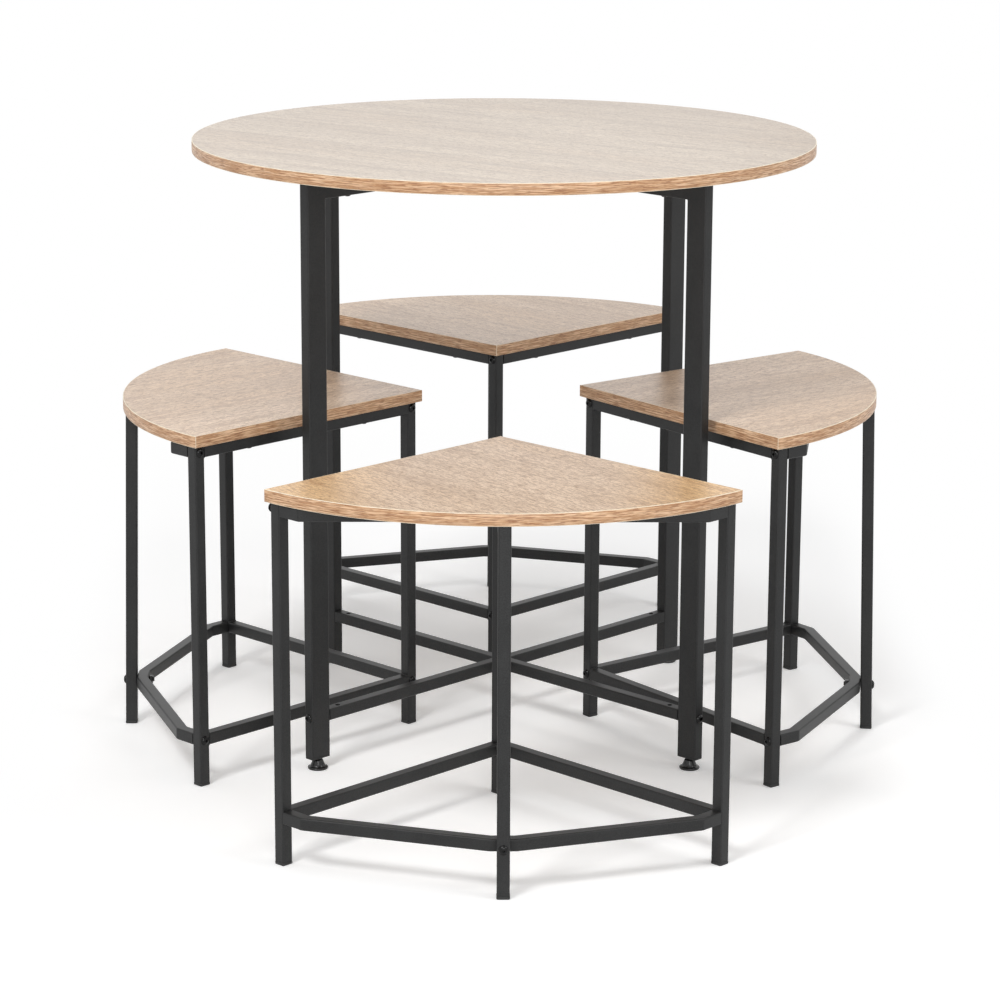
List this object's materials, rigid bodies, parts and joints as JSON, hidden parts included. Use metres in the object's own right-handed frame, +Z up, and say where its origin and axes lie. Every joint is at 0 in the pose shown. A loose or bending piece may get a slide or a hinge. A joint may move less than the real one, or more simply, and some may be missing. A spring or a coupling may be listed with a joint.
{
  "type": "round dining set",
  "caption": "Round dining table on four tube legs with quarter-round stools that slide in under it between the legs.",
  "frame": {"origin": "on the floor in the middle of the length and width of the whole set", "axes": "+Z up, +X to the right and +Y to the back as one faces the front stool; the table legs stand on the diagonals"},
  "size_m": [0.991, 1.3488, 0.773],
  "materials": {
    "oak_top": "pale oak decor, satin",
    "oak_seat": "pale oak decor, satin",
    "oak_edge_band": "warm oak decor edge band, satin",
    "black_steel": "matt powder coat",
    "black_plastic": "moulded"
  },
  "bodies": {
    "table": {"table_top_board": "oak_top", "table_edge_band": "oak_edge_band", "table_leg_frame_front_left": "black_steel", "table_leg_frame_front_right": "black_steel", "table_leg_frame_back_left": "black_steel", "table_leg_frame_back_right": "black_steel", "table_leg_plug_front_left": "black_plastic", "table_leg_plug_front_right": "black_plastic", "table_leg_plug_back_left": "black_plastic", "table_leg_plug_back_right": "black_plastic", "table_cross_stretcher": "black_steel"},
    "stool_front": {"stool_front_seat_panel": "oak_seat", "stool_front_seat_edge_band": "oak_edge_band", "stool_front_welded_side_frame": "black_steel", "stool_front_bolted_side_frame": "black_steel", "stool_front_upper_front_rail": "black_steel", "stool_front_foot_ring_front": "black_steel", "stool_front_arc_leg": "black_steel", "stool_front_cap_tip_leg": "black_plastic", "stool_front_cap_welded_corner_leg": "black_plastic", "stool_front_cap_bolted_corner_leg": "black_plastic", "stool_front_cap_arc_leg": "black_plastic"},
    "stool_left": {"stool_left_seat_panel": "oak_seat", "stool_left_seat_edge_band": "oak_edge_band", "stool_left_welded_side_frame": "black_steel", "stool_left_bolted_side_frame": "black_steel", "stool_left_upper_front_rail": "black_steel", "stool_left_foot_ring_front": "black_steel", "stool_left_arc_leg": "black_steel", "stool_left_cap_tip_leg": "black_plastic", "stool_left_cap_welded_corner_leg": "black_plastic", "stool_left_cap_bolted_corner_leg": "black_plastic", "stool_left_cap_arc_leg": "black_plastic"},
    "stool_back": {"stool_back_seat_panel": "oak_seat", "stool_back_seat_edge_band": "oak_edge_band", "stool_back_welded_side_frame": "black_steel", "stool_back_bolted_side_frame": "black_steel", "stool_back_upper_front_rail": "black_steel", "stool_back_foot_ring_front": "black_steel", "stool_back_arc_leg": "black_steel", "stool_back_cap_tip_leg": "black_plastic", "stool_back_cap_welded_corner_leg": "black_plastic", "stool_back_cap_bolted_corner_leg": "black_plastic", "stool_back_cap_arc_leg": "black_plastic"},
    "stool_right": {"stool_right_seat_panel": "oak_seat", "stool_right_seat_edge_band": "oak_edge_band", "stool_right_welded_side_frame": "black_steel", "stool_right_bolted_side_frame": "black_steel", "stool_right_upper_front_rail": "black_steel", "stool_right_foot_ring_front": "black_steel", "stool_right_arc_leg": "black_steel", "stool_right_cap_tip_leg": "black_plastic", "stool_right_cap_welded_corner_leg": "black_plastic", "stool_right_cap_bolted_corner_leg": "black_plastic", "stool_right_cap_arc_leg": "black_plastic"},
    "levelling_foot_front_left": {"table_levelling_foot_front_left": "black_plastic"},
    "levelling_foot_front_right": {"table_levelling_foot_front_right": "black_plastic"},
    "levelling_foot_back_left": {"table_levelling_foot_back_left": "black_plastic"},
    "levelling_foot_back_right": {"table_levelling_foot_back_right": "black_plastic"}
  },
  "joints": [
    {"name": "stool_front_slide", "type": "slide", "parent": "table", "child": "stool_front", "axis": [0.023, 0.9997, 0], "range_m": [-0.2, 0.29628]},
    {"name": "stool_left_slide", "type": "slide", "parent": "table", "child": "stool_left", "axis": [0.895, 0.446, 0], "range_m": [-0.2, 0.10089]},
    {"name": "stool_back_slide", "type": "slide", "parent": "table", "child": "stool_back", "axis": [0.0257, -0.9997, 0], "range_m": [-0.2, 0.23368]},
    {"name": "stool_right_swing", "type": "hinge", "parent": "table", "child": "stool_right", "pos_m": [-0.02179, -0.569, 0], "axis": [0, 0, 1], "range_deg": [-3, 8.2]},
    {"name": "levelling_foot_front_left_screw", "type": "slide", "parent": "table", "child": "levelling_foot_front_left", "axis": [0, 0, -1], "range_m": [-0.002, 0.01]},
    {"name": "levelling_foot_front_right_screw", "type": "slide", "parent": "table", "child": "levelling_foot_front_right", "axis": [0, 0, -1], "range_m": [-0.002, 0.01]},
    {"name": "levelling_foot_back_left_screw", "type": "slide", "parent": "table", "child": "levelling_foot_back_left", "axis": [0, 0, -1], "range_m": [-0.002, 0.01]},
    {"name": "levelling_foot_back_right_screw", "type": "slide", "parent": "table", "child": "levelling_foot_back_right", "axis": [0, 0, -1], "range_m": [-0.002, 0.01]}
  ]
}
